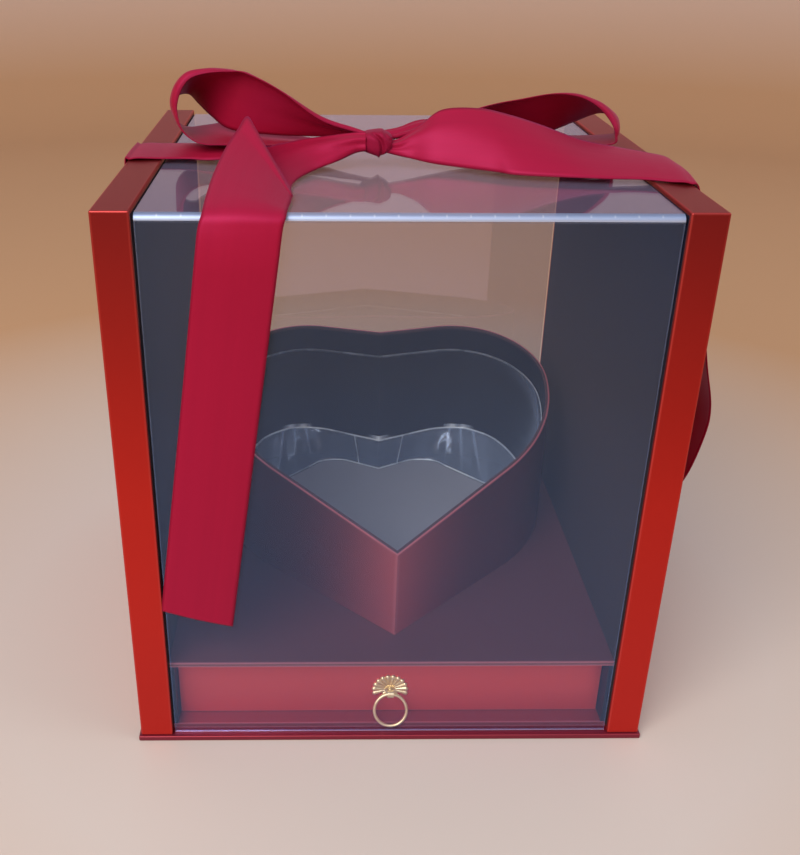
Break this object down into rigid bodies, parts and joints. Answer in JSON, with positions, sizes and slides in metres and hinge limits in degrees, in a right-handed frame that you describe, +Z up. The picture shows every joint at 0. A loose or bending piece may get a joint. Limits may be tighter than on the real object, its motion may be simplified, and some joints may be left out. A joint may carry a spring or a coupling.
{
  "type": "gift box with drawer",
  "caption": "Clear-fronted gift box with red side panels, a heart-shaped tray on a display floor, a shallow drawer with a ring pull below it, and a satin ribbon bow on top.",
  "frame": {"origin": "on the surface that the box stands on, under the middle of the base board", "axes": "+X to the right seen from the front, -Y the front with the drawer, +Z up"},
  "size_m": [0.3055, 0.2504, 0.3329],
  "materials": {
    "red_wrap": "satin laminated paper wrapped over greyboard",
    "rose_wrap": "satin laminated paper wrapped over greyboard",
    "heart_wrap": "satin laminated paper wrapped over greyboard",
    "heart_floor": "smooth pale grey board",
    "dark_lining": "matt dark lining paper",
    "clear_sheet": "clear bent plastic sheet",
    "clear_insert": "clear formed plastic",
    "gold_pull": "pale gold plated, polished",
    "satin_ribbon": "satin weave ribbon"
  },
  "bodies": {
    "case": {"base_board": "red_wrap", "left_panel_shell": "red_wrap", "left_panel_liner": "dark_lining", "right_panel_shell": "red_wrap", "right_panel_liner": "dark_lining", "clear_cover": "clear_sheet", "cabinet_bottom_board": "rose_wrap", "display_floor": "dark_lining", "cabinet_left_wall": "dark_lining", "cabinet_right_wall": "dark_lining", "cabinet_back_wall": "dark_lining", "heart_wall": "heart_wrap", "heart_bottom": "heart_floor", "heart_lining": "dark_lining", "heart_insert": "clear_insert", "ribbon_knot": "satin_ribbon", "ribbon_loop_left": "satin_ribbon", "ribbon_loop_right": "satin_ribbon", "ribbon_strand_left": "satin_ribbon", "ribbon_strand_right": "satin_ribbon", "ribbon_tail_fold": "satin_ribbon"},
    "drawer": {"drawer_front": "rose_wrap", "drawer_left_side": "rose_wrap", "drawer_right_side": "rose_wrap", "drawer_back": "rose_wrap", "drawer_bottom": "rose_wrap", "drawer_lining": "dark_lining", "pull_plate": "gold_pull", "pull_eye": "gold_pull", "pull_washer": "gold_pull"},
    "front_flap": {"front_sheet": "clear_sheet", "ribbon_tail_front": "satin_ribbon"},
    "pull_ring": {"pull_ring": "gold_pull"}
  },
  "joints": [
    {"name": "drawer_slide", "type": "slide", "parent": "case", "child": "drawer", "axis": [0, -1, 0], "range_m": [0, 0.15]},
    {"name": "front_flap_fold", "type": "hinge", "parent": "case", "child": "front_flap", "pos_m": [0, -0.1218, 0.2853], "axis": [-1, 0, 0], "range_deg": [0, 55]},
    {"name": "ring_swing", "type": "hinge", "parent": "drawer", "child": "pull_ring", "pos_m": [0, -0.1132, 0.0214], "axis": [-1, 0, 0], "range_deg": [0, 60]}
  ],
  "couplings": [
    {"joint": "front_flap_fold", "follows": "drawer_slide", "rad_per_m": 6},
    {"joint": "ring_swing", "follows": "drawer_slide", "rad_per_m": 6.5}
  ]
}
